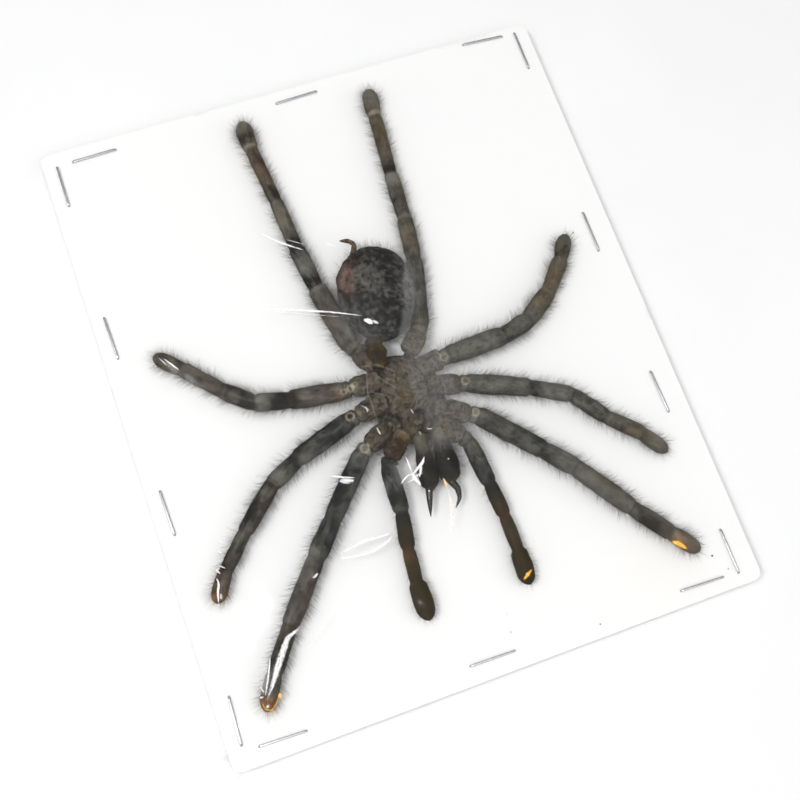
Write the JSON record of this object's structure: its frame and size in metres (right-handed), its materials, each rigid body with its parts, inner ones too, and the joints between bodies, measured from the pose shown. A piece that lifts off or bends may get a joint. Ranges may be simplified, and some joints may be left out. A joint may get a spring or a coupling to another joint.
{
  "type": "mounted tarantula specimen",
  "caption": "Dried tarantula laid underside up with its legs spread on a white foam board, under clear film held down by wire staples.",
  "frame": {"origin": "middle of the board's back face, where it rests", "axes": "+X to the right and +Y up the long side as seen from the specimen's side, with the spider's head towards -Y; +Z out of the board towards the specimen"},
  "size_m": [0.1462, 0.1742, 0.0169],
  "materials": {
    "board": "matt white paper over foam",
    "film": "thin clear glossy film",
    "staple": "bright drawn wire",
    "leg": "dull hairy cuticle",
    "body": "dusty hairy cuticle",
    "abdomen": "mottled dried skin with hair",
    "amber": "bare amber cuticle",
    "chelicera": "dark dull cuticle",
    "fang": "polished black chitin"
  },
  "bodies": {
    "root": {"backing_board": "board", "cephalothorax": "body", "abdomen": "abdomen", "leg_1_left": "leg", "leg_1_right": "leg", "leg_2_left": "leg", "leg_2_right": "leg", "leg_3_left": "leg", "leg_3_right": "leg", "leg_4_left": "leg", "leg_4_right": "leg", "palp_left": "leg", "palp_right": "leg", "pedicel": "amber", "spinneret": "amber", "chelicera_left": "chelicera", "chelicera_right": "chelicera", "fang_left": "fang", "fang_right": "fang", "clear_film": "film", "staple_left_1": "staple", "staple_left_2": "staple", "staple_left_3": "staple", "staple_left_4": "staple", "staple_top_1": "staple", "staple_top_2": "staple", "staple_top_3": "staple", "staple_right_1": "staple", "staple_right_2": "staple", "staple_right_3": "staple", "staple_right_4": "staple", "staple_bottom_1": "staple", "staple_bottom_2": "staple", "staple_bottom_3": "staple"}
  },
  "joints": []
}
